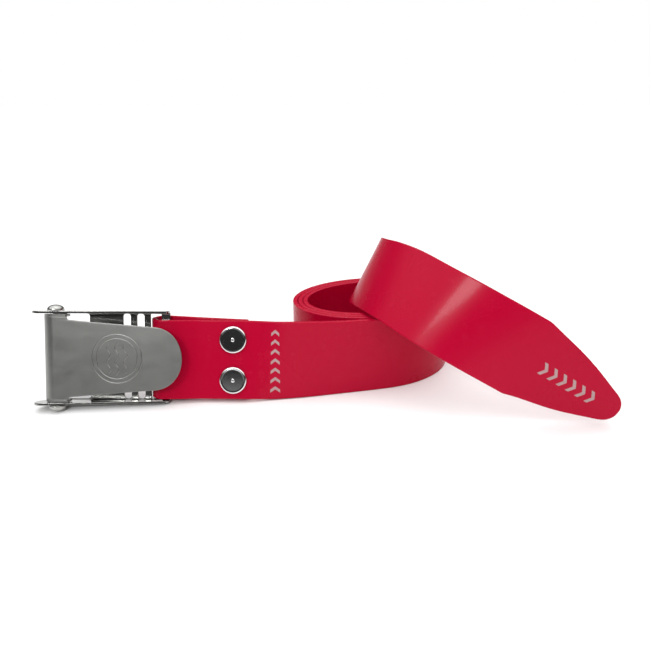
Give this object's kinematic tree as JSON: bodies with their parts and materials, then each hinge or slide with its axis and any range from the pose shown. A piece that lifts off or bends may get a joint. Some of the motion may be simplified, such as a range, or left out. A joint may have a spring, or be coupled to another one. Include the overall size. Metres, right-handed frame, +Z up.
{
  "type": "dive weight belt",
  "caption": "Coiled rubber diver's weight belt strap with a riveted, pressed steel quick-release lever buckle.",
  "frame": {"origin": "on the floor, under the middle of the belt's footprint as it lies coiled and standing on its edge", "axes": "+X from the buckle to the strap's tip, +Y to the back of the coil, +Z up"},
  "size_m": [0.3526, 0.1384, 0.0949],
  "materials": {
    "strap_rubber": "smooth glossy crimson silicone rubber",
    "rivet_chrome": "polished",
    "buckle_steel": "satin",
    "pin_steel": "satin"
  },
  "bodies": {
    "strap": {"strap": "strap_rubber", "rivet_cap_1": "rivet_chrome", "rivet_cap_2": "rivet_chrome", "rivet_back_1": "rivet_chrome", "rivet_back_2": "rivet_chrome"},
    "buckle": {"buckle_frame": "buckle_steel", "hinge_pin": "pin_steel"},
    "lever": {"buckle_lever": "buckle_steel"}
  },
  "joints": [
    {"name": "buckle_swing", "type": "hinge", "parent": "strap", "child": "buckle", "pos_m": [-0.09759, -0.02972, 0.02731], "axis": [0.0087, 0.3011, 0.9535], "range_deg": [-90, 28]},
    {"name": "lever_hinge", "type": "hinge", "parent": "buckle", "child": "lever", "pos_m": [-0.16128, -0.04221, 0.03184], "axis": [-0.0087, -0.3011, -0.9535], "range_deg": [0, 150]}
  ]
}
